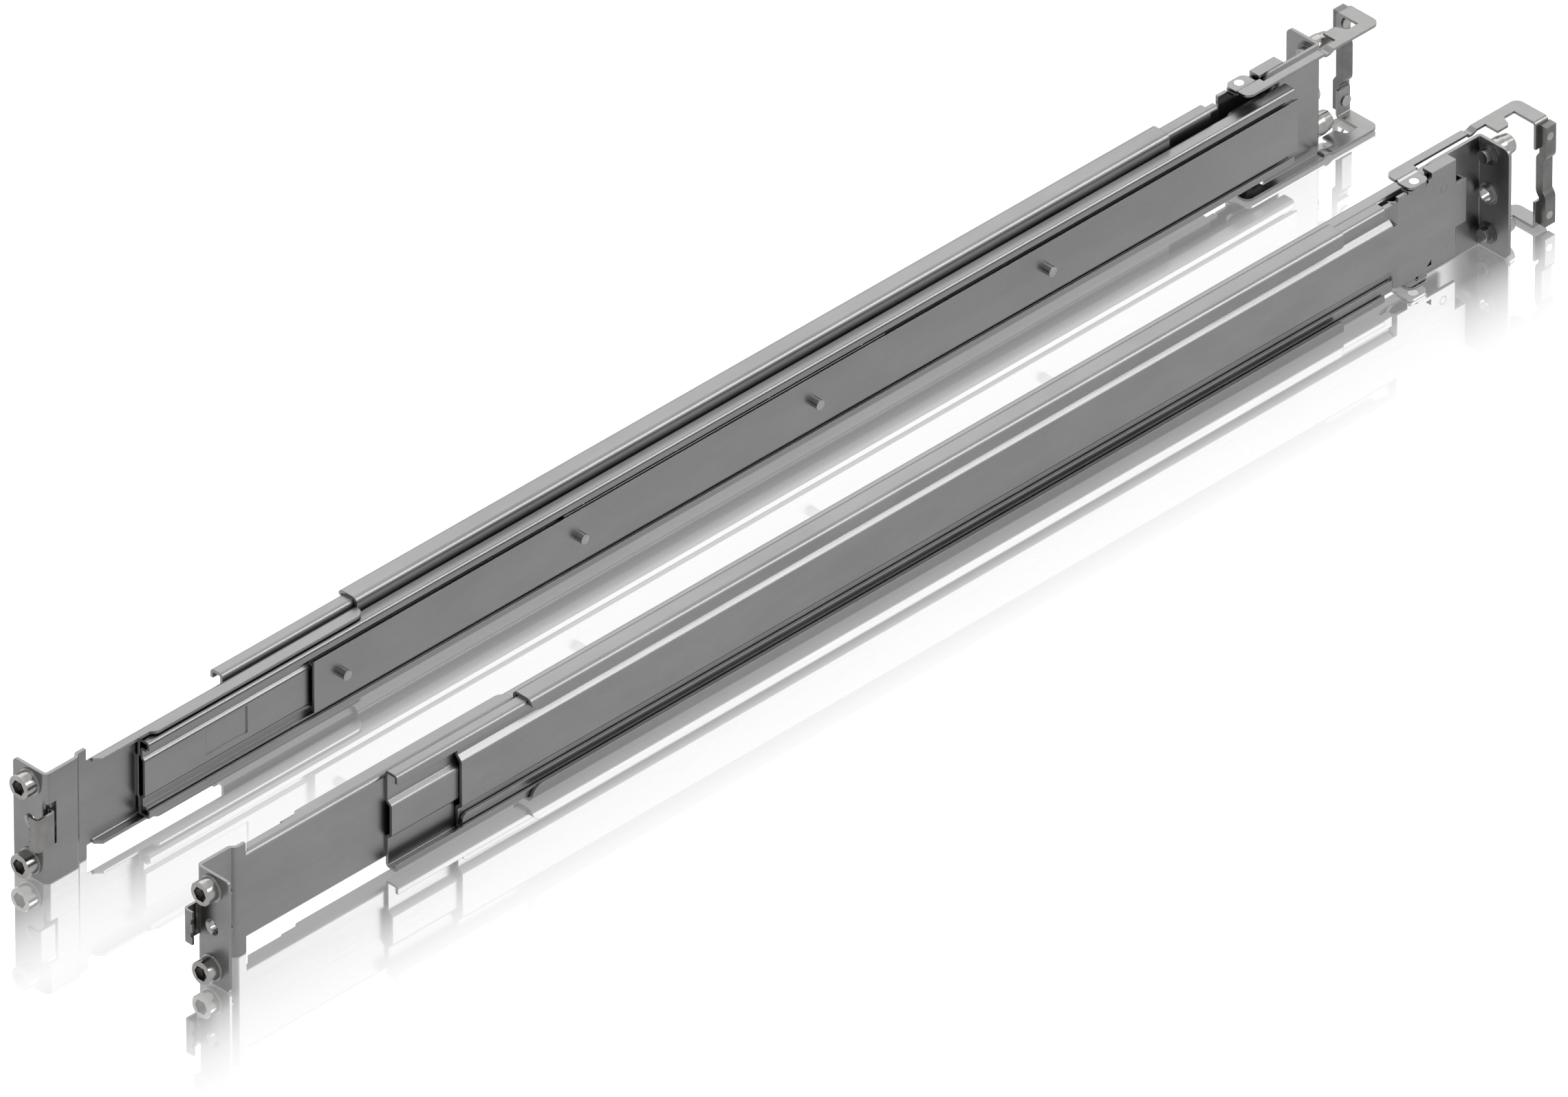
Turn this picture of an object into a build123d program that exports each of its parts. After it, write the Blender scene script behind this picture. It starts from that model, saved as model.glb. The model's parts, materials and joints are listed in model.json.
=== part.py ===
from build123d import *
import os

# All sizes are in millimetres.
# Every piece is drawn for the right rail, on the +X side, and mirrored for the left rail.
# X is the distance from the plane midway between the rails, and Z is 0 on the floor.
# While a piece is drawn, Y is 0 on the front flange's face and grows towards the rear.

# The rack holes that both ends hook into
pin_pitch = 31.75
pin_column = 42.5
mid_height = 22.4
rear_face = 597.5

# Sheet thicknesses
bracket_sheet = 1.2
channel_sheet = 1.15
slide_sheet = 1.0
arm_sheet = 1.0
hook_sheet = 0.9

# Radius of a fold, on the middle line of the sheet
fold = 1.5
small_fold = 1.0
slide_fold = 0.65
arm_fold = 0.6
bar_fold = 1.8

# Front bracket
bracket_height = 44.0
front_web_face = 35.2
front_flange_edge = 50.4
flange_corner = 1.5
jog_start = 14.6
jog_end = 16.3
web_face = 36.8
tab_end = 20.0
relief_length = 2.3
bracket_end = 144.0
bracket_low = 5.2
bracket_high = 39.6
narrow_edge = 33.7
wide_edge = 32.0
edge_step_start = 45.6
edge_step_end = 49.0
edge_corner = 4.0
hook_slot_depth = 4.85
hook_slot_low = 14.9
hook_slot_high = 31.8

# Front pins and the threaded insert between them
pin_radius = 4.35
pin_reach = 5.46
pin_bevel = 0.3
pin_socket = 2.9
pin_socket_sides = 6
pin_socket_depth = 4.4
pin_drill = 2.3
pin_drill_depth = 0.8
pin_collar = 4.9
pin_collar_height = 0.6
pin_shank = 2.6
pin_head = 3.6
pin_head_height = 0.9
insert_body = 3.0
insert_head = 3.7
insert_head_height = 1.8
insert_bore = 2.1
insert_flare = 2.85

# Hook at the front and the pin it swings on
hook_face = -5.0
hook_side = 34.1
hook_edge = 38.3
hook_low = 15.6
hook_high = 28.6
hook_back = 3.65
hook_pin_x = 38.6
hook_pin_y = 5.0
hook_pin_radius = 0.8
hook_play = 0.06
knuckle_wall = 0.74
knuckle_gap_low = 19.4
knuckle_gap_high = 24.4
hook_notch = 0.7
hook_notch_height = 1.8
hook_notch_shares = (0.3, 0.7)
lug_sheet = 1.0
lug_gap = 0.3
lug_reach = 1.9
lug_end = 12.5
carrier_start = 7.0
hook_pin_over = 0.6
spring_wire = 0.22
spring_radius = 1.25
spring_turns = 4
spring_pitch = 0.4
spring_arm_shift = 0.1

# Extension channel, the wide C fixed to the front bracket
channel_front = 83.9
channel_rear = 546.0
channel_mid = 21.85
channel_half = 19.45
channel_lip_face = 43.7
channel_lip = 3.4
raise_height = 2.0
raise_foot = 7.3
raise_top = 5.7

# Sleeves pressed over the two edges of the extension channel
sleeve_front = 144.3
sleeve_rear = 525.0
sleeve_in = 36.5
sleeve_out = 45.2
sleeve_lip = 5.6
sleeve_front_corner = 5.0
sleeve_rear_corner = 1.5

# Rear channel, which runs inside the extension channel
running_gap = 0.35
edge_gap = 0.3
rear_channel_front = 114.6
rear_profile_end = 551.0
rear_fade_end = 553.0
rear_plate_end = 580.7
rear_plate_low = 5.2
rear_plate_high = 41.8
ridge_low = 13.45
ridge_low_foot = 11.85
ridge_high = 30.9
ridge_high_foot = 33.0
hem_height = 5.25
hem_gap = 0.3
hem_corner = 2.2
hem_setback = 0.7
box_front = 569.1
box_high = 44.0
box_wall_low = 36.5
step_end = 585.7
step_low = 16.5
step_high = 34.0
window_front = 566.8
window_rear = 569.2
window_low = 6.8
window_high = 9.1

# Rear bracket
rear_bracket_face = 37.1
rear_bracket_height = 43.8
rear_flange_edge = 52.1
rear_corner = 2.5
rear_bracket_start = 571.0
rear_fold = 0.8
rear_tongue_start = 553.0
rear_tongue_low = 5.0
rear_tongue_high = 36.0
tongue_corner = 3.0

# Rivets
rivet_radius = 1.5
rivet_head = 2.6
rivet_head_height = 1.2
low_head = 2.3
low_head_height = 0.4
inner_head_height = 0.5
collar_radius = 3.0
joint_rivet_rows = (120.0, 135.0)
joint_rivet_offset = 12.0
front_slide_rivets = (95.0, 130.0)
rear_slide_rivets = (250.0, 400.0, 530.0)
spacer_rivet_y = 575.0
spacer_rivet_heights = (10.0, 35.0)
spacer_radius = 2.5

# Rear pins, their nuts and the insert between them
rear_pin_radius = 4.2
rear_pin_length = 4.7
rear_nose_length = 4.2
rear_nose_radius = 3.5
rear_nose_round = 0.8
rear_stud = 2.4
rear_stud_tip = 593.4
nut_radius = 4.0
nut_height = 0.4
nut_step_radius = 3.4
nut_step_height = 0.6
rear_insert_body = 3.2
rear_insert_head = 4.5
rear_insert_head_height = 0.8
rear_insert_tail = 1.5
rear_insert_ring = 4.2
rear_insert_ring_height = 0.3
rear_insert_bore = 2.5

# Latch at the rear
eye_x = 40.93
eye_y = 562.3
eye_low = 42.2
eye_front = 558.0
eye_rear = 567.2
eye_edge = 43.7
eye_corner = 2.6
arm_rise = 0.8
joggle_outer = 37.9
joggle_inner = 36.9
arm_inner = 31.9
arm_front = 557.5
arm_back = 568.0
arm_front_corner = 3.0
strip_outer = 35.0
dip_depth = 0.9
dip_start = 593.9
dip_low_start = 594.6
dip_low_end = 596.3
dip_end = 598.4
neck_end = 602.3
lobe_edge = 40.8
lobe_lean = 0.2
lobe_rear = 607.0
waist = 36.5
waist_start = 610.3
cross_front = 614.6
cross_rear = 620.5
cross_corner = 3.0
bar_inner = 46.7
bar_depth = 3.15
bar_front = 616.3
bar_rear = 621.1
bar_end_gap = 2.3
bar_bow = 1.5
bar_bow_low = 15.5
bar_bow_high = 28.7
bar_bow_slope = 2.0
fold_down_low = 33.0
bar_rivet_height = 38.4
bar_rivet_head = 2.1
bar_rivet_head_height = 0.5
ear_low = 40.6
ear_inner = 38.6
ear_outer = 43.4
ear_front = 557.8
ear_rear = 567.0
hinge_outer = 1.8
hinge_play = 0.06
hinge_rise = 0.05

# Telescopic slide, sizes measured from its middle height
outer_front = 42.9
outer_rear = 578.6
outer_lip_face = 30.6
outer_flange = 15.4
outer_lip_end = 12.2
outer_zone_step = 0.7
outer_band = 7.9
outer_band_foot = 8.6
middle_front = 42.9
middle_rear = 577.0
middle_zone_face = 34.7
middle_band_face = 33.7
middle_flange = 12.2
middle_edge = 31.9
middle_band = 7.0
middle_band_foot = 7.9
panel_front = 71.0
panel_rear = 90.0
panel_low = 17.7
panel_high = 28.6
panel_depth = 0.45
inner_front = 118.7
inner_rear = 580.2
inner_face = 30.6
inner_half = 10.25
inner_flange = 9.2
inner_flange_edge = 33.3
stud_rows = (131.4, 241.5, 351.4, 460.9)
stud_radius = 1.85
stud_reach = 2.9
stud_shank = 1.3
stud_tail = 0.3

# Balls and their cages
outer_ball = 1.05
outer_ball_x = 33.4
outer_ball_height = 13.3
outer_cage_front = 230.0
outer_cage_rear = 390.0
outer_cage_inner = 31.9
outer_cage_outer = 34.9
outer_cage_sheet = 0.5
inner_ball = 0.95
inner_ball_x = 32.65
inner_ball_height = 10.2
inner_cage_front = 235.0
inner_cage_rear = 385.0
inner_cage_inner = 31.15
inner_cage_outer = 33.4
inner_cage_low = 10.5
inner_cage_high = 10.9
ball_count = 4
ball_end_margin = 10.0
ball_pocket_play = 0.12

# Sizes that follow from the ones above
pin_heights = (mid_height - pin_pitch / 2, mid_height + pin_pitch / 2)
web_back = web_face + bracket_sheet
raised_face = web_back + raise_height
channel_low = channel_mid - channel_half
channel_high = channel_mid + channel_half
zone_face = web_back + channel_sheet + running_gap
zone_edge = channel_lip_face - channel_sheet - running_gap
plate_face = zone_face + raise_height
plate_back = plate_face + bracket_sheet
rear_bracket_back = rear_bracket_face + bracket_sheet
rear_flange_front = rear_face - bracket_sheet
hook_knuckle = hook_pin_radius + hook_play + knuckle_wall
eye_high = eye_low + arm_sheet
arm_low = eye_low + arm_rise
arm_high = arm_low + arm_sheet
rail_middle = (bar_rear - pin_reach) / 2


def folded(plane, points, thickness, bend, depth):
    """Adds a folded sheet: its middle line drawn on a plane, drawn out by depth."""
    with BuildSketch(plane) as section:
        with BuildLine() as path:
            FilletPolyline(*points, radius=bend)
        trace(path.line, line_width=thickness)
    extrude(section.sketch, amount=depth)


def block(x, y, z, mode=Mode.ADD):
    """Adds or cuts a box given by its two limits on each axis."""
    with Locations(((x[0] + x[1]) / 2, (y[0] + y[1]) / 2, (z[0] + z[1]) / 2)):
        Box(x[1] - x[0], y[1] - y[0], z[1] - z[0], mode=mode)


def rod(start, end, radius, mode=Mode.ADD):
    """Adds or cuts a round bar from one point to another."""
    along = Vector(*end) - Vector(*start)
    with Locations(Plane(origin=start, z_dir=along)):
        Cylinder(radius, along.length, align=(Align.CENTER, Align.CENTER, Align.MIN), mode=mode)


def round_corner(plane, corner, into, radius, depth):
    """Rounds a plate's corner; into holds the two signs that point into the plate."""
    slack = 0.5
    centre = (corner[0] + into[0] * radius, corner[1] + into[1] * radius)
    start = (corner[0] - into[0] * slack, corner[1] - into[1] * slack)
    with BuildSketch(plane) as corner_waste:
        with Locations(((centre[0] + start[0]) / 2, (centre[1] + start[1]) / 2)):
            Rectangle(radius + slack, radius + slack)
        with Locations(centre):
            Circle(radius, mode=Mode.SUBTRACT)
    extrude(corner_waste.sketch, amount=depth, mode=Mode.SUBTRACT)


def across(y):
    """The upright plane at y that faces the front."""
    return Plane.XZ.offset(-y)


def write_pair(name, drawn):
    """Moves a piece so that Y is 0 midway along the rails, and writes it for both rails."""
    with BuildPart() as right:
        add(drawn.part.moved(Location((0, -rail_middle, 0))))
    right.part.label = "right_" + name
    export_step(right.part, "parts/right_" + name + ".step")
    with BuildPart() as left:
        mirror(right.part, about=Plane.YZ)
    left.part.label = "left_" + name
    export_step(left.part, "parts/left_" + name + ".step")


def make_front_bracket():
    """Front flange, full-height tab, and the channel the slide is riveted into."""
    half = bracket_sheet / 2
    trim_edge = wide_edge - bracket_sheet
    flange_points = [
        (front_flange_edge, half),
        (front_web_face + half, half),
        (front_web_face + half, jog_start),
        (web_face + half, jog_end),
        (web_face + half, tab_end),
    ]
    channel_points = [
        (wide_edge, bracket_high - half),
        (web_face + half, bracket_high - half),
        (web_face + half, bracket_low + half),
        (wide_edge, bracket_low + half),
    ]
    with BuildPart() as bracket:
        folded(Plane.XY, flange_points, bracket_sheet, fold, bracket_height)
        folded(across(bracket_end), channel_points, bracket_sheet, fold, bracket_end - tab_end)
        relief = (tab_end, tab_end + relief_length)
        block((trim_edge, web_face), relief, (0, bracket_height), Mode.SUBTRACT)
        with BuildSketch(Plane.XY):
            with BuildLine():
                Polyline(
                    (wide_edge, edge_step_end),
                    (trim_edge, edge_step_end),
                    (trim_edge, tab_end),
                    (narrow_edge + relief_length, tab_end + relief_length),
                    (narrow_edge, tab_end + 2 * relief_length),
                    (narrow_edge, edge_step_start),
                )
                Spline(
                    (narrow_edge, edge_step_start),
                    (wide_edge, edge_step_end),
                    tangents=((0, 1), (0, 1)),
                )
            make_face()
        extrude(amount=bracket_height, mode=Mode.SUBTRACT)
        round_corner(Plane.XY, (wide_edge, bracket_end), (1, -1), edge_corner, bracket_height)
        for height, side in ((0, 1), (bracket_height, -1)):
            corner = (front_flange_edge, height)
            round_corner(across(bracket_sheet), corner, (-1, side), flange_corner, bracket_sheet)
        slot_edge = front_web_face + bracket_sheet
        slot_height = (hook_slot_low, hook_slot_high)
        block((front_web_face, slot_edge), (0, hook_slot_depth), slot_height, Mode.SUBTRACT)
        corner_depth = (bracket_sheet, hook_slot_depth)
        block((slot_edge, slot_edge + fold), corner_depth, slot_height, Mode.SUBTRACT)
        for height in pin_heights:
            rod((pin_column, 0, height), (pin_column, bracket_sheet, height), pin_shank, Mode.SUBTRACT)
        rod((pin_column, 0, mid_height), (pin_column, bracket_sheet, mid_height), insert_body, Mode.SUBTRACT)
        for y in joint_rivet_rows:
            for side in (-1, 1):
                height = channel_mid + side * joint_rivet_offset
                rod((web_face, y, height), (web_back, y, height), rivet_radius, Mode.SUBTRACT)
        for y in front_slide_rivets:
            rod((web_face, y, mid_height), (web_back, y, mid_height), rivet_radius, Mode.SUBTRACT)
    return bracket


def make_front_pins():
    """Two round pins with six-sided sockets, riveted through the front flange."""
    back = bracket_sheet + pin_head_height
    socket_end = pin_socket_depth - pin_reach
    with BuildPart() as pins:
        for height in pin_heights:
            rod((pin_column, -pin_reach, height), (pin_column, 0, height), pin_radius)
            rod((pin_column, -pin_collar_height, height), (pin_column, 0, height), pin_collar)
            rod((pin_column, 0, height), (pin_column, bracket_sheet, height), pin_shank)
            rod((pin_column, bracket_sheet, height), (pin_column, back, height), pin_head)
        chamfer(pins.edges().filter_by(GeomType.CIRCLE).group_by(Axis.Y)[0], pin_bevel)
        with BuildSketch(across(socket_end)):
            with Locations(*[(pin_column, height) for height in pin_heights]):
                RegularPolygon(pin_socket, pin_socket_sides)
        extrude(amount=pin_socket_depth, mode=Mode.SUBTRACT)
        for height in pin_heights:
            with Locations(Plane(origin=(pin_column, socket_end, height), z_dir=(0, 1, 0))):
                Cone(
                    pin_drill,
                    0,
                    pin_drill_depth,
                    align=(Align.CENTER, Align.CENTER, Align.MIN),
                    mode=Mode.SUBTRACT,
                )
    return pins


def make_front_insert():
    """Threaded insert midway between the pins, flared at its front."""
    back = bracket_sheet + insert_head_height
    with BuildPart() as insert:
        rod((pin_column, 0, mid_height), (pin_column, bracket_sheet, mid_height), insert_body)
        rod((pin_column, bracket_sheet, mid_height), (pin_column, back, mid_height), insert_head)
        rod((pin_column, 0, mid_height), (pin_column, back, mid_height), insert_bore, Mode.SUBTRACT)
        with Locations(Plane(origin=(pin_column, 0, mid_height), z_dir=(0, 1, 0))):
            Cone(
                insert_flare,
                insert_bore,
                insert_flare - insert_bore,
                align=(Align.CENTER, Align.CENTER, Align.MIN),
                mode=Mode.SUBTRACT,
            )
    return insert


def make_hook_carrier():
    """U-shaped holder on the bracket's web, with two lugs for the hook's pin."""
    low = hook_low - lug_gap - lug_sheet
    high = hook_high + lug_gap + lug_sheet
    base = front_web_face + bracket_sheet
    outer = hook_pin_x + lug_reach
    lug_start = hook_pin_y - lug_reach
    with BuildPart() as carrier:
        block((base, base + lug_sheet), (carrier_start, lug_end), (low, high))
        for bottom in (low, high - lug_sheet):
            block((base, outer), (lug_start, lug_end), (bottom, bottom + lug_sheet))
            round_corner(Plane.XY.offset(bottom), (outer, lug_end), (-1, -1), lug_reach, lug_sheet)
            round_corner(Plane.XY.offset(bottom), (outer, lug_start), (-1, 1), lug_reach, lug_sheet)
        rod((hook_pin_x, hook_pin_y, low), (hook_pin_x, hook_pin_y, high), hook_pin_radius, Mode.SUBTRACT)
    return carrier


def make_hook_pin():
    """Upright pin that the front hook swings on, headed above and below the lugs."""
    low = hook_low - lug_gap - lug_sheet
    high = hook_high + lug_gap + lug_sheet
    with BuildPart() as pin:
        rod((hook_pin_x, hook_pin_y, low), (hook_pin_x, hook_pin_y, high), hook_pin_radius)
        for start, end in ((low, low - hook_pin_over), (high, high + hook_pin_over)):
            rod((hook_pin_x, hook_pin_y, start), (hook_pin_x, hook_pin_y, end), 2 * hook_pin_radius)
    return pin


def make_front_hook():
    """Bent hook that closes over the rack post in front of the flange."""
    half = hook_sheet / 2
    roll = hook_knuckle - half
    height = hook_high - hook_low
    points = [
        (hook_edge, hook_face + half),
        (hook_side + half, hook_face + half),
        (hook_side + half, hook_back - half),
        (hook_pin_x - roll, hook_back - half),
        (hook_pin_x - roll, hook_pin_y),
    ]
    with BuildPart() as hook:
        folded(Plane.XY.offset(hook_low), points, hook_sheet, small_fold, height)
        rod((hook_pin_x, hook_pin_y, hook_low), (hook_pin_x, hook_pin_y, hook_high), hook_knuckle)
        rod(
            (hook_pin_x, hook_pin_y, hook_low),
            (hook_pin_x, hook_pin_y, hook_high),
            hook_pin_radius + hook_play,
            Mode.SUBTRACT,
        )
        block(
            (hook_pin_x - hook_knuckle - half, hook_pin_x + 2 * hook_knuckle),
            (hook_back - hook_sheet, hook_pin_y + 2 * hook_knuckle),
            (knuckle_gap_low, knuckle_gap_high),
            Mode.SUBTRACT,
        )
        for share in hook_notch_shares:
            centre = hook_low + share * height
            block(
                (hook_edge - hook_notch, hook_edge + hook_notch),
                (hook_face, hook_face + hook_sheet),
                (centre - hook_notch_height / 2, centre + hook_notch_height / 2),
                Mode.SUBTRACT,
            )
    return hook


def make_hook_spring():
    """Close-wound torsion spring on the hook's pin, its turns drawn as touching rings."""
    middle = (knuckle_gap_low + knuckle_gap_high) / 2
    first = middle - spring_pitch * (spring_turns - 1) / 2
    last = middle + spring_pitch * (spring_turns - 1) / 2
    leg_y = hook_back + spring_wire
    with BuildPart() as spring:
        with BuildSketch(across(hook_pin_y)):
            for turn in range(spring_turns):
                with Locations((hook_pin_x + spring_radius, first + turn * spring_pitch)):
                    Circle(spring_wire)
        revolve(axis=Axis((hook_pin_x, hook_pin_y, 0), (0, 0, 1)))
        rod((hook_pin_x, leg_y, last), (hook_side + 2 * hook_sheet, leg_y, last), spring_wire)
        rod(
            (hook_pin_x, hook_pin_y + spring_radius - spring_arm_shift, first),
            (hook_pin_x - 2 * spring_wire, hook_pin_y + 2 * lug_reach, first),
            spring_wire,
        )
    return spring


def make_extension_channel():
    """Wide C-shaped channel with a raised middle, fixed to the front bracket."""
    half = channel_sheet / 2
    profile = []
    for side in (1, -1):
        rows = [
            (channel_lip_face - half, channel_mid + side * (channel_half - channel_lip)),
            (channel_lip_face - half, channel_mid + side * (channel_half - half)),
            (web_back + half, channel_mid + side * (channel_half - half)),
            (web_back + half, channel_mid + side * raise_foot),
            (raised_face + half, channel_mid + side * raise_top),
        ]
        profile = profile + (rows if side == 1 else rows[::-1])
    with BuildPart() as channel:
        folded(across(channel_rear), profile, channel_sheet, small_fold, channel_rear - channel_front)
        for y in joint_rivet_rows:
            for side in (-1, 1):
                height = channel_mid + side * joint_rivet_offset
                outer = web_back + channel_sheet
                rod((web_back, y, height), (outer, y, height), rivet_radius, Mode.SUBTRACT)
        for y in rear_slide_rivets:
            outer = raised_face + channel_sheet
            rod((raised_face, y, mid_height), (outer, y, mid_height), rivet_radius, Mode.SUBTRACT)
    return channel


def make_channel_sleeves():
    """U-shaped caps over the top and bottom edges of the extension channel."""
    half = bracket_sheet / 2
    length = sleeve_rear - sleeve_front
    with BuildPart() as sleeves:
        for side in (1, -1):
            seat = channel_mid + side * channel_half
            crown = seat + side * half
            end = seat + side * (bracket_sheet - sleeve_lip)
            points = [
                (sleeve_out - half, end),
                (sleeve_out - half, crown),
                (sleeve_in + half, crown),
                (sleeve_in + half, end),
            ]
            folded(across(sleeve_rear), points, bracket_sheet, fold, length)
            plane = Plane.YZ.offset(sleeve_out - bracket_sheet)
            round_corner(plane, (sleeve_front, end), (1, side), sleeve_front_corner, bracket_sheet)
            round_corner(plane, (sleeve_rear, end), (-1, side), sleeve_rear_corner, bracket_sheet)
    return sleeves


def make_rail_rivets():
    """Rivets that join the slide, the front bracket and the extension channel."""
    inner = web_face - slide_sheet
    with BuildPart() as rivets:
        for y in joint_rivet_rows:
            for side in (-1, 1):
                height = channel_mid + side * joint_rivet_offset
                rod((web_face, y, height), (web_back + channel_sheet, y, height), rivet_radius)
                rod((web_face - low_head_height, y, height), (web_face, y, height), low_head)
        for y in front_slide_rivets:
            rod((inner, y, mid_height), (web_back, y, mid_height), rivet_radius)
            rod((web_back, y, mid_height), (web_back + rivet_head_height, y, mid_height), rivet_head)
            rod((inner - inner_head_height, y, mid_height), (inner, y, mid_height), low_head)
        for y in rear_slide_rivets:
            rod((inner, y, mid_height), (raised_face + channel_sheet, y, mid_height), rivet_radius)
            rod((web_face, y, mid_height), (raised_face, y, mid_height), collar_radius)
            rod((inner - inner_head_height, y, mid_height), (inner, y, mid_height), low_head)
    return rivets


def make_rear_channel():
    """Channel that slides in the extension channel and carries the rear bracket."""
    half = bracket_sheet / 2
    low = channel_low + channel_sheet + edge_gap
    high = channel_high - channel_sheet - edge_gap
    hem_inner = zone_face + bracket_sheet + hem_gap
    profile = [
        (zone_edge, high - half),
        (zone_face + half, high - half),
        (zone_face + half, ridge_high_foot),
        (plate_face + half, ridge_high),
        (plate_face + half, ridge_low),
        (zone_face + half, ridge_low_foot),
        (zone_face + half, low + half),
        (hem_inner + half, low + half),
        (hem_inner + half, low + hem_height),
    ]
    length = rear_profile_end - rear_channel_front
    with BuildPart() as channel:
        folded(across(rear_profile_end), profile, bracket_sheet, hem_gap / 2 + half, length)
        block(
            (hem_inner - hem_gap / 2, hem_inner + bracket_sheet),
            (rear_channel_front, rear_channel_front + hem_setback),
            (low, low + hem_height),
            Mode.SUBTRACT,
        )
        round_corner(
            Plane.YZ.offset(hem_inner - hem_gap / 2),
            (rear_channel_front + hem_setback, low + hem_height),
            (1, -1),
            hem_corner,
            bracket_sheet + hem_gap,
        )
        for bottom, top in ((rear_plate_low, ridge_low), (ridge_high, high)):
            with BuildSketch(Plane.XY.offset(bottom)):
                with BuildLine():
                    Polyline(
                        (zone_face, rear_profile_end),
                        (zone_face + bracket_sheet, rear_profile_end),
                        (plate_back, rear_fade_end),
                        (plate_face, rear_fade_end),
                        close=True,
                    )
                make_face()
            extrude(amount=top - bottom)
        block((plate_face, plate_back), (rear_profile_end, rear_fade_end), (ridge_low, ridge_high))
        block((plate_face, plate_back), (rear_fade_end, rear_plate_end), (rear_plate_low, rear_plate_high))
        block((plate_face, plate_back), (box_front, rear_plate_end), (rear_plate_high, box_high))
        box_edge = (box_high - bracket_sheet, box_high)
        block((rear_bracket_back, plate_back), (box_front, rear_plate_end), box_edge)
        block(
            (rear_bracket_back, plate_back),
            (rear_plate_end - bracket_sheet, rear_plate_end),
            (box_wall_low, box_high),
        )
        block((plate_face, plate_back), (rear_plate_end, step_end), (step_low, step_high))
        block((rear_bracket_back, plate_back), (step_end - bracket_sheet, step_end), (step_low, step_high))
        for bottom in (ear_low, 2 * mid_height - ear_low - bracket_sheet):
            block((ear_inner, ear_outer), (ear_front, ear_rear), (bottom, bottom + bracket_sheet))
            for corner, into in (
                ((ear_outer, ear_front), (-1, 1)),
                ((ear_outer, ear_rear), (-1, -1)),
                ((ear_inner, ear_front), (1, 1)),
            ):
                round_corner(Plane.XY.offset(bottom), corner, into, hinge_outer, bracket_sheet)
            top = bottom + bracket_sheet
            rod((eye_x, eye_y, bottom), (eye_x, eye_y, top), hinge_outer, Mode.SUBTRACT)
        block(
            (plate_face, plate_back),
            (ear_front, ear_rear),
            (2 * mid_height - ear_low - bracket_sheet, rear_plate_low),
        )
        rod((eye_x, eye_y, 0), (eye_x, eye_y, rear_plate_low), hinge_outer, Mode.SUBTRACT)
        with BuildSketch(Plane.YZ.offset(plate_face)):
            with BuildLine():
                Polyline(
                    (window_front, window_low),
                    (window_rear, window_low),
                    (window_rear, window_high),
                    close=True,
                )
            make_face()
        extrude(amount=bracket_sheet, mode=Mode.SUBTRACT)
        for height in spacer_rivet_heights:
            rod(
                (plate_face, spacer_rivet_y, height),
                (plate_back, spacer_rivet_y, height),
                rivet_radius,
                Mode.SUBTRACT,
            )
    return channel


def make_rear_bracket():
    """Rear plate and flange that bolt against the rear rack post."""
    half = bracket_sheet / 2
    points = [
        (rear_bracket_face + half, rear_bracket_start),
        (rear_bracket_face + half, rear_face - half),
        (rear_flange_edge, rear_face - half),
    ]
    side_plane = Plane.YZ.offset(rear_bracket_face)
    with BuildPart() as bracket:
        folded(Plane.XY, points, bracket_sheet, rear_fold, rear_bracket_height)
        block(
            (rear_bracket_face, rear_bracket_back),
            (rear_tongue_start, rear_bracket_start),
            (rear_tongue_low, rear_tongue_high),
        )
        for corner, into in (
            ((rear_bracket_start, rear_bracket_height), (1, -1)),
            ((rear_tongue_start, rear_tongue_high), (1, -1)),
            ((rear_tongue_start, rear_tongue_low), (1, 1)),
        ):
            round_corner(side_plane, corner, into, tongue_corner, bracket_sheet)
        for height, side in ((0, 1), (rear_bracket_height, -1)):
            corner = (rear_flange_edge, height)
            round_corner(across(rear_face), corner, (-1, side), rear_corner, bracket_sheet)
        for height in pin_heights:
            rod(
                (pin_column, rear_flange_front, height),
                (pin_column, rear_face, height),
                rear_stud,
                Mode.SUBTRACT,
            )
        rod(
            (pin_column, rear_flange_front, mid_height),
            (pin_column, rear_face, mid_height),
            rear_insert_body,
            Mode.SUBTRACT,
        )
        for height in spacer_rivet_heights:
            rod(
                (rear_bracket_face, spacer_rivet_y, height),
                (rear_bracket_back, spacer_rivet_y, height),
                rivet_radius,
                Mode.SUBTRACT,
            )
    return bracket


def make_bracket_rivets():
    """Shouldered rivets between rear bracket and rear channel, flush on the outside."""
    with BuildPart() as rivets:
        for height in spacer_rivet_heights:
            rod(
                (rear_bracket_face, spacer_rivet_y, height),
                (plate_back, spacer_rivet_y, height),
                rivet_radius,
            )
            rod(
                (rear_bracket_back, spacer_rivet_y, height),
                (plate_face, spacer_rivet_y, height),
                spacer_radius,
            )
            rod(
                (rear_bracket_face - low_head_height, spacer_rivet_y, height),
                (rear_bracket_face, spacer_rivet_y, height),
                low_head,
            )
    return rivets


def make_rear_pins():
    """Pins with tapered noses on the rear flange, each with a stud towards the front."""
    shoulder = rear_face + rear_pin_length
    with BuildPart() as pins:
        for height in pin_heights:
            rod((pin_column, rear_face, height), (pin_column, shoulder, height), rear_pin_radius)
            with Locations(Plane(origin=(pin_column, shoulder, height), z_dir=(0, 1, 0))):
                Cone(
                    rear_pin_radius,
                    rear_nose_radius,
                    rear_nose_length,
                    align=(Align.CENTER, Align.CENTER, Align.MIN),
                )
            rod((pin_column, rear_stud_tip, height), (pin_column, rear_face, height), rear_stud)
        fillet(pins.edges().filter_by(GeomType.CIRCLE).group_by(Axis.Y)[-1], rear_nose_round)
    return pins


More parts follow.
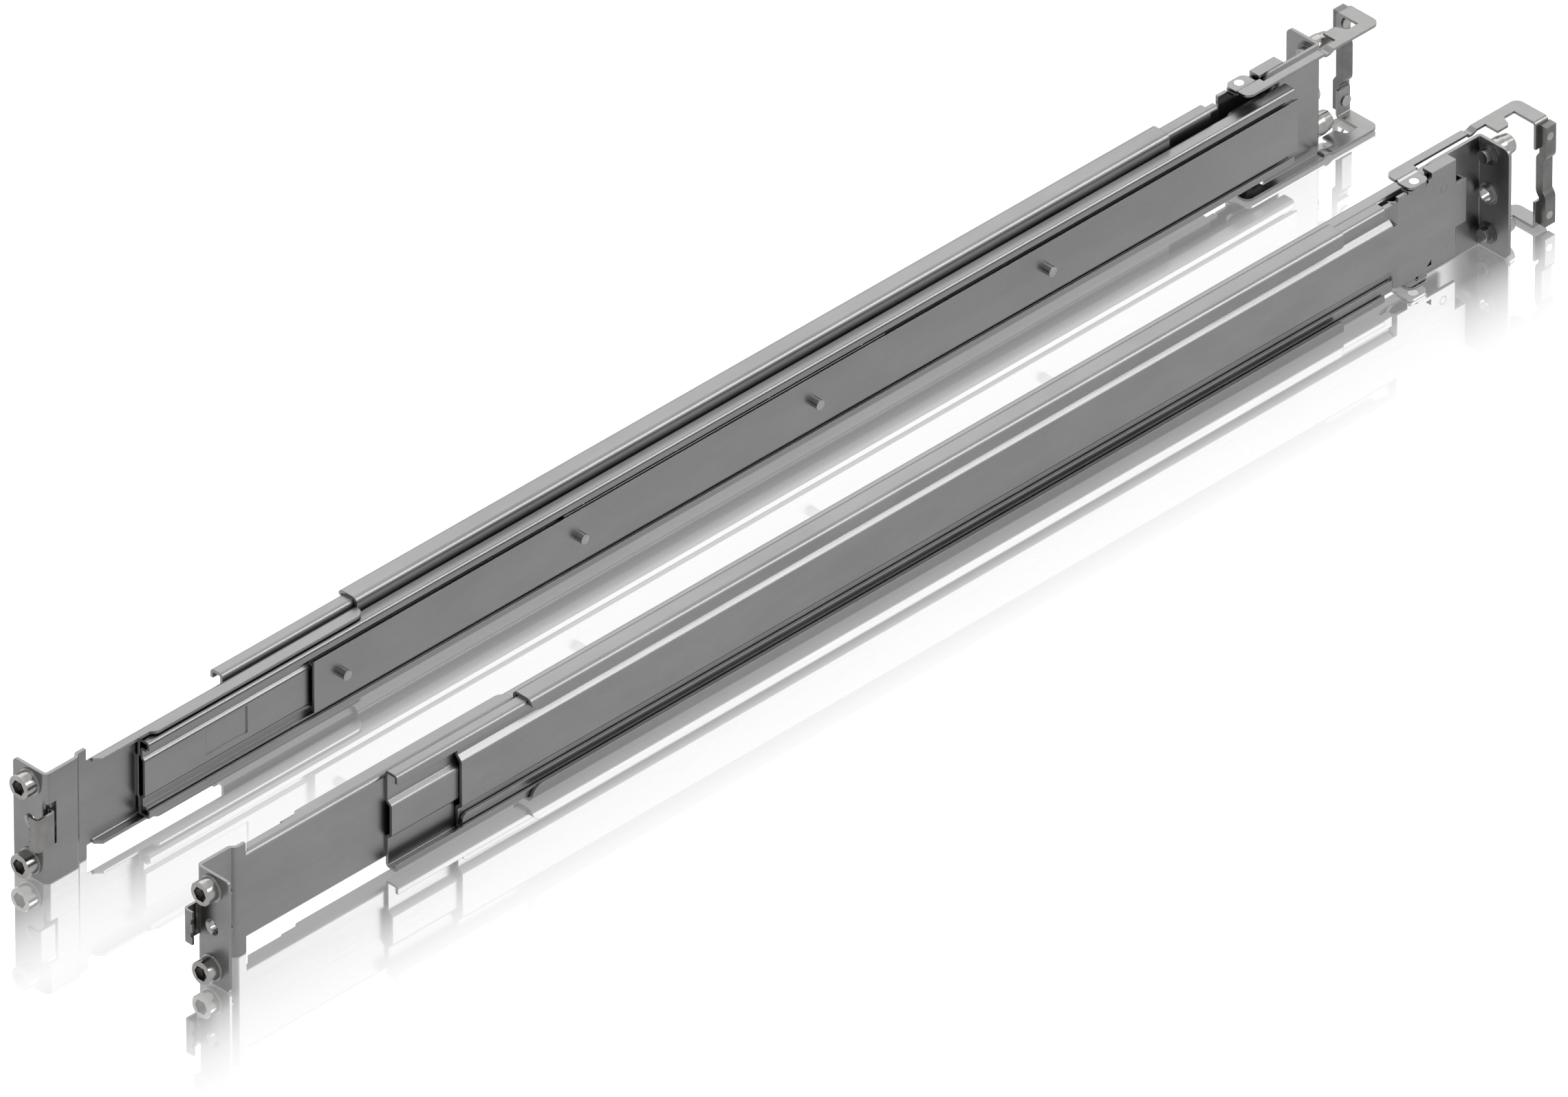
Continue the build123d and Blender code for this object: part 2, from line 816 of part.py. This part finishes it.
def make_rear_pin_nuts():
    """Stepped round nuts on the studs of the rear pins."""
    back = rear_flange_front - nut_height
    with BuildPart() as nuts:
        for height in pin_heights:
            step = back - nut_step_height
            rod((pin_column, back, height), (pin_column, rear_flange_front, height), nut_radius)
            rod((pin_column, step, height), (pin_column, back, height), nut_step_radius)
            rod(
                (pin_column, step, height),
                (pin_column, rear_flange_front, height),
                rear_stud,
                Mode.SUBTRACT,
            )
    return nuts


def make_rear_insert():
    """Flanged threaded insert midway between the rear pins."""
    tail = rear_flange_front - rear_insert_tail
    with BuildPart() as insert:
        rod((pin_column, tail, mid_height), (pin_column, rear_face, mid_height), rear_insert_body)
        rod(
            (pin_column, rear_face, mid_height),
            (pin_column, rear_face + rear_insert_head_height, mid_height),
            rear_insert_head,
        )
        rod(
            (pin_column, rear_flange_front - rear_insert_ring_height, mid_height),
            (pin_column, rear_flange_front, mid_height),
            rear_insert_ring,
        )
        rod(
            (pin_column, tail, mid_height),
            (pin_column, rear_face + rear_insert_head_height, mid_height),
            rear_insert_bore,
            Mode.SUBTRACT,
        )
    return insert


def make_hinge_pins():
    """Round rivets that the latch arms turn on, nearly flush with the arms' eyes."""
    with BuildPart() as pins:
        for side in (1, -1):
            start = mid_height + side * (ear_low - mid_height)
            end = mid_height + side * (eye_high + hinge_rise - mid_height)
            rod((eye_x, eye_y, start), (eye_x, eye_y, end), hinge_outer)
    return pins


def make_latch_arm_upper():
    """Upper latch arm: eye, joggled plate, narrow strip, shaped plate and folded end."""
    half = arm_sheet / 2
    eye_points = [
        (eye_edge, eye_low + half),
        (joggle_outer, eye_low + half),
        (joggle_inner, arm_low + half),
        (arm_inner, arm_low + half),
    ]
    strip_points = [
        (arm_back - half, arm_low + half),
        (dip_start, arm_low + half),
        (dip_low_start, arm_low + half - dip_depth),
        (dip_low_end, arm_low + half - dip_depth),
        (dip_end, arm_low + half),
        (neck_end, arm_low + half),
    ]
    end_points = [
        (waist - arm_sheet, arm_low + half),
        (bar_inner - half, arm_low + half),
        (bar_inner - half, fold_down_low),
    ]
    with BuildPart() as arm:
        folded(across(eye_rear), eye_points, arm_sheet, arm_fold, eye_rear - eye_front)
        for corner, into in (((eye_edge, eye_front), (-1, 1)), ((eye_edge, eye_rear), (-1, -1))):
            round_corner(Plane.XY.offset(eye_low), corner, into, eye_corner, arm_high - eye_low)
        block((arm_inner, joggle_inner), (arm_front, arm_back), (arm_low, arm_high))
        round_corner(Plane.XY.offset(arm_low), (arm_inner, arm_front), (1, 1), arm_front_corner, arm_sheet)
        folded(Plane.YZ.offset(arm_inner), strip_points, arm_sheet, arm_fold, strip_outer - arm_inner)
        with BuildSketch(Plane.XY.offset(arm_low)):
            with BuildLine():
                Polyline(
                    (waist, waist_start),
                    (waist, cross_front),
                    (bar_inner - small_fold - half, cross_front),
                    (bar_inner - small_fold - half, cross_rear),
                    (arm_inner, cross_rear),
                    (arm_inner, neck_end - half),
                    (strip_outer, neck_end - half),
                    (strip_outer, neck_end),
                    (lobe_edge, neck_end),
                    (lobe_edge, lobe_rear),
                )
                Spline(
                    (lobe_edge, lobe_rear),
                    (waist, waist_start),
                    tangents=((-lobe_lean, 1), (-lobe_lean, 1)),
                )
            make_face()
        extrude(amount=arm_sheet)
        round_corner(Plane.XY.offset(arm_low), (arm_inner, cross_rear), (1, -1), cross_corner, arm_sheet)
        folded(across(cross_rear), end_points, arm_sheet, small_fold, cross_rear - cross_front)
        rod((eye_x, eye_y, eye_low), (eye_x, eye_y, arm_high), hinge_outer + hinge_play, Mode.SUBTRACT)
        rivet_y = (bar_front + cross_rear) / 2
        rod(
            (bar_inner - arm_sheet, rivet_y, bar_rivet_height),
            (bar_inner, rivet_y, bar_rivet_height),
            rivet_radius,
            Mode.SUBTRACT,
        )
    return arm


def make_latch_arm_lower(upper):
    """Lower latch arm, the mirror image of the upper one about the middle height."""
    with BuildPart() as arm:
        mirror(upper.part, about=Plane.XY.offset(mid_height))
    return arm


def make_latch_bar():
    """Upright bar behind the rear flange, bowed inwards over its middle."""
    half = bar_depth / 2
    points = [
        (bar_inner + half, bar_end_gap),
        (bar_inner + half, bar_bow_low - bar_bow_slope),
        (bar_inner + half - bar_bow, bar_bow_low),
        (bar_inner + half - bar_bow, bar_bow_high),
        (bar_inner + half, bar_bow_high + bar_bow_slope),
        (bar_inner + half, 2 * mid_height - bar_end_gap),
    ]
    rivet_y = (bar_front + cross_rear) / 2
    with BuildPart() as bar:
        folded(across(bar_rear), points, bar_depth, bar_fold, bar_rear - bar_front)
        for height in (bar_rivet_height, 2 * mid_height - bar_rivet_height):
            outer = bar_inner + bar_depth
            rod((bar_inner, rivet_y, height), (outer, rivet_y, height), rivet_radius, Mode.SUBTRACT)
    return bar


def make_latch_bar_rivets():
    """Rivets that hold the bar on the folded ends of both latch arms."""
    rivet_y = (bar_front + cross_rear) / 2
    inner = bar_inner - arm_sheet
    with BuildPart() as rivets:
        for height in (bar_rivet_height, 2 * mid_height - bar_rivet_height):
            head = inner - bar_rivet_head_height
            rod((inner, rivet_y, height), (bar_inner + bar_depth, rivet_y, height), rivet_radius)
            rod((head, rivet_y, height), (inner, rivet_y, height), bar_rivet_head)
    return rivets


def make_outer_member():
    """Outer member of the slide, a C that holds the outer ball rows."""
    half = slide_sheet / 2
    zone = web_face - outer_zone_step - half
    profile = []
    for side in (1, -1):
        rows = [
            (outer_lip_face + half, mid_height + side * outer_lip_end),
            (outer_lip_face + half, mid_height + side * (outer_flange - half)),
            (zone, mid_height + side * (outer_flange - half)),
            (zone, mid_height + side * outer_band_foot),
            (web_face - half, mid_height + side * outer_band),
        ]
        profile = profile + (rows if side == 1 else rows[::-1])
    with BuildPart() as member:
        folded(across(outer_rear), profile, slide_sheet, slide_fold, outer_rear - outer_front)
        for y in front_slide_rivets + rear_slide_rivets:
            inner = web_face - slide_sheet
            rod((inner, y, mid_height), (web_face, y, mid_height), rivet_radius, Mode.SUBTRACT)
    return member


def make_intermediate_member():
    """Middle member of the slide, between the outer and the inner ball rows."""
    half = slide_sheet / 2
    profile = []
    for side in (1, -1):
        rows = [
            (middle_edge, mid_height + side * (middle_flange - half)),
            (middle_zone_face - half, mid_height + side * (middle_flange - half)),
            (middle_zone_face - half, mid_height + side * middle_band_foot),
            (middle_band_face - half, mid_height + side * middle_band),
        ]
        profile = profile + (rows if side == 1 else rows[::-1])
    with BuildPart() as member:
        folded(across(middle_rear), profile, slide_sheet, slide_fold, middle_rear - middle_front)
        recess = middle_band_face - slide_sheet
        block(
            (recess, recess + panel_depth),
            (panel_front, panel_rear),
            (panel_low, panel_high),
            Mode.SUBTRACT,
        )
    return member


def make_inner_member():
    """Inner member of the slide, which carries the equipment's side studs."""
    with BuildPart() as member:
        block(
            (inner_face, inner_face + slide_sheet),
            (inner_front, inner_rear),
            (mid_height - inner_half, mid_height + inner_half),
        )
        for side in (-1, 1):
            flange = mid_height + side * inner_flange
            limits = sorted((flange - side * slide_sheet, flange))
            block((inner_face, inner_flange_edge), (inner_front, inner_rear), limits)
        for y in stud_rows:
            back = inner_face + slide_sheet
            rod((inner_face, y, mid_height), (back, y, mid_height), stud_shank, Mode.SUBTRACT)
    return member


def make_chassis_studs():
    """Round studs along the inner member that the equipment drops onto."""
    back = inner_face + slide_sheet
    with BuildPart() as studs:
        for y in stud_rows:
            rod((inner_face - stud_reach, y, mid_height), (inner_face, y, mid_height), stud_radius)
            rod((inner_face, y, mid_height), (back, y, mid_height), stud_shank)
            rod((back, y, mid_height), (back + stud_tail, y, mid_height), stud_radius)
    return studs


def ball_rows(front, rear):
    """Places of the balls along one row of a cage."""
    first = front + ball_end_margin
    step = (rear - front - 2 * ball_end_margin) / (ball_count - 1)
    return [first + step * number for number in range(ball_count)]


def make_outer_ball_cages():
    """Flat strips that space the outer balls, one above and one below."""
    half = outer_cage_sheet / 2
    with BuildPart() as cages:
        for side in (-1, 1):
            height = mid_height + side * outer_ball_height
            block(
                (outer_cage_inner, outer_cage_outer),
                (outer_cage_front, outer_cage_rear),
                (height - half, height + half),
            )
            for y in ball_rows(outer_cage_front, outer_cage_rear):
                rod(
                    (outer_ball_x, y, height - half),
                    (outer_ball_x, y, height + half),
                    outer_ball + ball_pocket_play,
                    Mode.SUBTRACT,
                )
    return cages


def make_outer_balls():
    """Balls between the outer and the middle member."""
    with BuildPart() as balls:
        for side in (-1, 1):
            for y in ball_rows(outer_cage_front, outer_cage_rear):
                with Locations((outer_ball_x, y, mid_height + side * outer_ball_height)):
                    Sphere(outer_ball)
    return balls


def make_inner_ball_cages():
    """Notched strips that space the inner balls, one above and one below."""
    with BuildPart() as cages:
        for side in (-1, 1):
            limits = sorted((mid_height + side * inner_cage_low, mid_height + side * inner_cage_high))
            block((inner_cage_inner, inner_cage_outer), (inner_cage_front, inner_cage_rear), limits)
            for y in ball_rows(inner_cage_front, inner_cage_rear):
                rod(
                    (inner_ball_x, y, limits[0]),
                    (inner_ball_x, y, limits[1]),
                    inner_ball + ball_pocket_play / 2,
                    Mode.SUBTRACT,
                )
    return cages


def make_inner_balls():
    """Balls between the middle and the inner member."""
    with BuildPart() as balls:
        for side in (-1, 1):
            for y in ball_rows(inner_cage_front, inner_cage_rear):
                with Locations((inner_ball_x, y, mid_height + side * inner_ball_height)):
                    Sphere(inner_ball)
    return balls


os.makedirs("parts", exist_ok=True)

latch_arm_upper = make_latch_arm_upper()

write_pair("front_bracket", make_front_bracket())
write_pair("front_pins", make_front_pins())
write_pair("front_insert", make_front_insert())
write_pair("hook_carrier", make_hook_carrier())
write_pair("hook_pin", make_hook_pin())
write_pair("front_hook", make_front_hook())
write_pair("hook_spring", make_hook_spring())
write_pair("extension_channel", make_extension_channel())
write_pair("channel_sleeves", make_channel_sleeves())
write_pair("rail_rivets", make_rail_rivets())
write_pair("outer_member", make_outer_member())
write_pair("rear_channel", make_rear_channel())
write_pair("rear_bracket", make_rear_bracket())
write_pair("bracket_rivets", make_bracket_rivets())
write_pair("rear_pins", make_rear_pins())
write_pair("rear_pin_nuts", make_rear_pin_nuts())
write_pair("rear_insert", make_rear_insert())
write_pair("latch_hinge_pins", make_hinge_pins())
write_pair("latch_arm_upper", latch_arm_upper)
write_pair("latch_arm_lower", make_latch_arm_lower(latch_arm_upper))
write_pair("latch_bar", make_latch_bar())
write_pair("latch_bar_rivets", make_latch_bar_rivets())
write_pair("intermediate_member", make_intermediate_member())
write_pair("inner_member", make_inner_member())
write_pair("chassis_studs", make_chassis_studs())
write_pair("outer_ball_cages", make_outer_ball_cages())
write_pair("outer_balls", make_outer_balls())
write_pair("inner_ball_cages", make_inner_ball_cages())
write_pair("inner_balls", make_inner_balls())
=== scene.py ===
import json
import math

import bpy
from mathutils import Matrix, Vector

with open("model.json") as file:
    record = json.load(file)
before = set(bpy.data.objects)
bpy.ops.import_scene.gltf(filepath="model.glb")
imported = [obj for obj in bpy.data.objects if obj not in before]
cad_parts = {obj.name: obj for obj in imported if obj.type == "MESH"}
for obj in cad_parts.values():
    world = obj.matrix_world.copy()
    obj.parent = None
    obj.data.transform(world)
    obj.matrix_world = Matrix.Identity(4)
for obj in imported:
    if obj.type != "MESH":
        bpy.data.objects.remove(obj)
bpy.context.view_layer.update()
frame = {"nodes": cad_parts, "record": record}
nodes = frame["nodes"]

# The camera looks from the front right and 35 degrees up: angles in degrees, lens and sensor
# in millimetres, the rest in metres
AZIMUTH = 45.048
ELEVATION = 35.070
ROLL = -0.0289
DISTANCE = 15.8642
TARGET = Vector((-0.00056, -0.00076, -0.00020))
LENS = 1100.0
SENSOR_WIDTH = 36.0
CLIP_START = 1.0
CLIP_END = 60.0

WHITE = (1.0, 1.0, 1.0, 1.0)

# The metals: how far bare edges look rounded, and the height of the grain, in metres
SHEET_EDGE = 0.00035
TURNED_EDGE = 0.00025
EDGE_SAMPLES = 6
GRAIN_HEIGHT = 0.00002
TURNED_GRAIN = 0.08

# The table: half its side, how far it lies under the rails, and its colour
TABLE_REACH = 6.0
TABLE_DROP = 0.0002
TABLE_COLOUR = (0.86, 0.86, 0.86, 1.0)

# The table's mirror image is full between two distances from the middle, in metres. Beside
# them it fades by FADE to a metre. FLOOR_GLOW is the table's own white in the camera's view.
INNER_FACE = 0.031
OUTER_FACE = 0.050
FADE = 26.0
MIRROR_PEAK = 0.72
MIRROR_REST = 0.02
FLOOR_GLOW = 0.76

# The surroundings: the light they give, and the white that the camera and reflections see
SOFT_LIGHT = 0.85
SEEN_LIGHT = 1.0


class Link:
    """A node socket that takes part in Python sums, each of which adds a Math node."""

    def __init__(self, tree, socket):
        self.tree = tree
        self.socket = socket

    def maths(self, operation, other, swapped=False, clamp=False):
        first, second = (other, self) if swapped else (self, other)
        return self.tree.add(
            "ShaderNodeMath",
            {"operation": operation, "use_clamp": clamp},
            {0: first, 1: second},
        )

    def __add__(self, other):
        return self.maths("ADD", other)

    __radd__ = __add__

    def __sub__(self, other):
        return self.maths("SUBTRACT", other)

    def __rsub__(self, other):
        return self.maths("SUBTRACT", other, swapped=True)

    def __mul__(self, other):
        return self.maths("MULTIPLY", other)

    __rmul__ = __mul__

    def size(self):
        """The value without its sign."""
        return self.maths("ABSOLUTE", 0.0)

    def clipped(self):
        """The value kept between 0 and 1."""
        return self.maths("ADD", 0.0, clamp=True)


class Nodes:
    """The nodes of a new material or world: add() puts in any node."""

    def __init__(self, owner):
        owner.use_nodes = True
        self.owner = owner
        self.nodes = owner.node_tree.nodes
        self.links = owner.node_tree.links
        self.nodes.clear()

    def add(self, kind, settings=None, inputs=None, output=0):
        """A node from its type, its settings and its inputs' values or links.

        The setting stops gives the places and the greys of a ramp's two stops.
        """
        node = self.nodes.new(kind)
        for name, value in (settings or {}).items():
            if name == "stops":
                for element, (place, shade) in zip(node.color_ramp.elements, value):
                    element.position = place
                    element.color = (shade, shade, shade, 1.0)
            else:
                setattr(node, name, value)
        for key, value in (inputs or {}).items():
            socket = node.inputs[key]
            if isinstance(value, Link):
                self.links.new(value.socket, socket)
            else:
                socket.default_value = value
        return Link(self, node.outputs[output])

    def place(self, scale=(1.0, 1.0, 1.0)):
        """Object coordinates in metres, stretched by scale."""
        where = self.add("ShaderNodeTexCoord", output="Object")
        return self.add("ShaderNodeMapping", {}, {"Vector": where, "Scale": scale})

    def noise(self, stretch, detail, roughness):
        """Noise on Object coordinates, with about stretch features to a metre each way."""
        return self.add(
            "ShaderNodeTexNoise",
            {},
            {
                "Vector": self.place(stretch),
                "Scale": 1.0,
                "Detail": detail,
                "Roughness": roughness,
            },
        )

    def blend(self, share, dark, pale):
        """A colour between dark and pale. The colour sockets of a Mix node go by number."""
        return self.add(
            "ShaderNodeMix",
            {"data_type": "RGBA"},
            {0: share, 6: (*dark, 1.0), 7: (*pale, 1.0)},
            output=2,
        )

    def metal(self, shade, roughness, height, strength, edge):
        """A bare metal surface with a fine grain and edges that look rounded."""
        rounded = self.add("ShaderNodeBevel", {"samples": EDGE_SAMPLES}, {"Radius": edge})
        relief = self.add(
            "ShaderNodeBump",
            {},
            {
                "Strength": strength,
                "Distance": GRAIN_HEIGHT,
                "Height": height,
                "Normal": rounded,
            },
        )
        return self.add(
            "ShaderNodeBsdfPrincipled",
            {},
            {"Base Color": shade, "Metallic": 1.0, "Roughness": roughness, "Normal": relief},
        )

    def close(self, kind, shader):
        """The finished material or world, with shader as its surface."""
        surface = self.nodes.new(kind).inputs["Surface"]
        self.links.new(shader.socket, surface)
        return self.owner


def plated_sheet(name, dark, pale, roughness, grain):
    """Zinc-plated sheet steel: cloudy plating and faint rolling grain along Y."""
    make = Nodes(bpy.data.materials.new(name))
    clouds = make.noise(stretch=(60.0, 22.0, 60.0), detail=4.0, roughness=0.6)
    lines = make.noise(stretch=(2600.0, 35.0, 2600.0), detail=2.0, roughness=0.5)
    speckle = make.noise(stretch=(2400.0, 2400.0, 2400.0), detail=2.0, roughness=0.5)
    stops = [(0.35, 0.0), (0.68, 1.0)]
    mottle = make.add(
        "ShaderNodeValToRGB", {"stops": stops}, {"Fac": clouds * 0.7 + speckle * 0.3}
    )
    shade = make.blend(mottle, dark, pale)
    # Each noise is a half on average, so the roughness asked for is the mean
    rough = (lines * 0.10 + clouds * 0.12 + (roughness - 0.11)).clipped()
    shader = make.metal(shade, rough, lines * 0.5 + speckle * 0.5, grain, SHEET_EDGE)
    return make.close("ShaderNodeOutputMaterial", shader)


def turned_metal(name, dark, pale, roughness):
    """Nickel-plated steel, turned or stamped: smoother than the sheet."""
    make = Nodes(bpy.data.materials.new(name))
    clouds = make.noise(stretch=(240.0, 240.0, 240.0), detail=3.0, roughness=0.55)
    fine = make.noise(stretch=(3500.0, 3500.0, 3500.0), detail=2.0, roughness=0.5)
    stops = [(0.35, 0.0), (0.7, 1.0)]
    mottle = make.add("ShaderNodeValToRGB", {"stops": stops}, {"Fac": clouds})
    shade = make.blend(mottle, dark, pale)
    rough = (clouds * 0.14 + fine * 0.06 + (roughness - 0.10)).clipped()
    shader = make.metal(shade, rough, fine, TURNED_GRAIN, TURNED_EDGE)
    return make.close("ShaderNodeOutputMaterial", shader)


def glossy_floor():
    """White table top whose mirror image of a rail fades out with distance from the rail."""
    make = Nodes(bpy.data.materials.new("white_table"))
    camera = make.add("ShaderNodeLightPath", output="Is Camera Ray")
    glossy = make.add("ShaderNodeLightPath", output="Is Glossy Ray")
    white = make.add("ShaderNodeBsdfDiffuse", {}, {"Color": TABLE_COLOUR})
    glow = make.add("ShaderNodeEmission", {}, {"Color": WHITE, "Strength": 1.0})
    seen = (camera + glossy).clipped() * FLOOR_GLOW
    lit = make.add("ShaderNodeMixShader", {}, {0: seen, 1: white, 2: glow})
    mirror = make.add("ShaderNodeBsdfGlossy", {}, {"Color": WHITE, "Roughness": 0.0})
    across = make.add("ShaderNodeSeparateXYZ", {}, {"Vector": make.place()}).size()
    inside = (1.0 - (INNER_FACE - across) * FADE).clipped()
    outside = (1.0 - (across - OUTER_FACE) * FADE).clipped()
    nearness = inside * outside
    share = (nearness * nearness * MIRROR_PEAK + MIRROR_REST) * camera
    shader = make.add("ShaderNodeMixShader", {}, {0: share, 1: lit, 2: mirror})
    return make.close("ShaderNodeOutputMaterial", shader)


def studio_world():
    """Soft light all round, which the camera and reflections see as plain white."""
    make = Nodes(bpy.data.worlds.new("studio"))
    camera = make.add("ShaderNodeLightPath", output="Is Camera Ray")
    glossy = make.add("ShaderNodeLightPath", output="Is Glossy Ray")
    soft = make.add("ShaderNodeBackground", {}, {"Color": WHITE, "Strength": SOFT_LIGHT})
    plain = make.add("ShaderNodeBackground", {}, {"Color": WHITE, "Strength": SEEN_LIGHT})
    seen = (camera + glossy).clipped()
    shader = make.add("ShaderNodeMixShader", {}, {0: seen, 1: soft, 2: plain})
    return make.close("ShaderNodeOutputWorld", shader)


def put(name, data):
    """A new object in the scene."""
    thing = bpy.data.objects.new(name, data)
    bpy.context.collection.objects.link(thing)
    return thing


def table_top():
    """A wide flat square just under the rails."""
    mesh = bpy.data.meshes.new("table_top")
    signs = [(-1, -1), (1, -1), (1, 1), (-1, 1)]
    corners = [(x * TABLE_REACH, y * TABLE_REACH, 0.0) for x, y in signs]
    mesh.from_pydata(corners, [], [(0, 1, 2, 3)])
    mesh.materials.append(glossy_floor())
    table = put("table_top", mesh)
    table.location.z = -TABLE_DROP
    return table


def softbox(name, place, width, height, power):
    """A rectangular lamp at place that points at the middle of the rails."""
    data = bpy.data.lights.new(name, "AREA")
    data.shape = "RECTANGLE"
    data.size = width
    data.size_y = height
    data.energy = power
    lamp = put(name, data)
    lamp.location = place
    lamp.rotation_euler = (-Vector(place)).to_track_quat("-Z", "Y").to_euler()


def long_lens():
    """The camera, DISTANCE away from TARGET in the direction of AZIMUTH and ELEVATION."""
    data = bpy.data.cameras.new("camera")
    data.lens = LENS
    data.sensor_width = SENSOR_WIDTH
    data.clip_start = CLIP_START
    data.clip_end = CLIP_END
    camera = put("camera", data)
    turn, rise = math.radians(AZIMUTH), math.radians(ELEVATION)
    level = math.cos(rise)
    back = Vector((math.sin(turn) * level, -math.cos(turn) * level, math.sin(rise)))
    camera.rotation_mode = "QUATERNION"
    camera.location = TARGET + back * DISTANCE
    facing = (-back).to_track_quat("-Z", "Y").to_matrix()
    roll = Matrix.Rotation(math.radians(ROLL), 3, "Z")
    camera.rotation_quaternion = (facing @ roll).to_quaternion()
    return camera


# The finish of each material slot
finishes = {
    "bracket_steel": plated_sheet(
        "bracket_zinc",
        dark=(0.215, 0.215, 0.218),
        pale=(0.265, 0.265, 0.268),
        roughness=0.33,
        grain=0.04,
    ),
    "slide_steel": plated_sheet(
        "slide_zinc",
        dark=(0.22, 0.22, 0.223),
        pale=(0.265, 0.265, 0.268),
        roughness=0.30,
        grain=0.03,
    ),
    "turned_steel": turned_metal(
        "turned_nickel",
        dark=(0.30, 0.295, 0.285),
        pale=(0.38, 0.375, 0.365),
        roughness=0.20,
    ),
    "spring_steel": turned_metal(
        "spring_plate",
        dark=(0.20, 0.195, 0.19),
        pale=(0.25, 0.245, 0.24),
        roughness=0.30,
    ),
    "latch_steel": turned_metal(
        "latch_nickel",
        dark=(0.225, 0.225, 0.223),
        pale=(0.25, 0.25, 0.248),
        roughness=0.28,
    ),
}

dark_turned = turned_metal(
    "dark_turned",
    dark=(0.13, 0.13, 0.128),
    pale=(0.165, 0.165, 0.163),
    roughness=0.26,
)

bright_rivet = turned_metal(
    "bright_rivet",
    dark=(0.62, 0.62, 0.615),
    pale=(0.74, 0.74, 0.735),
    roughness=0.22,
)

# Pieces whose finish differs from the rest of their slot, on either rail
own_finish = {
    "latch_hinge_pins": bright_rivet,
    "latch_bar": dark_turned,
    "rear_pin_nuts": dark_turned,
}

slot_of = {row["node"]: row["material_slot"] for row in frame["record"]["subparts"]}
for name, node in nodes.items():
    piece = name.split("_", 1)[1]
    node.data.materials.clear()
    node.data.materials.append(own_finish.get(piece, finishes[slot_of[name]]))

floor = table_top()

scene = bpy.context.scene
scene.world = studio_world()
scene.view_settings.view_transform = "Standard"

# Softboxes behind on the left, behind on the right and overhead: metres and watts
softbox("rear_left_box", (-1.2, 1.2, 1.2), width=2.4, height=1.2, power=9.0)
softbox("rear_right_box", (1.15, 1.15, 1.15), width=1.8, height=0.5, power=13.0)
softbox("top_box", (0.0, 0.0, 2.2), width=1.6, height=1.6, power=14.0)

scene.camera = long_lens()
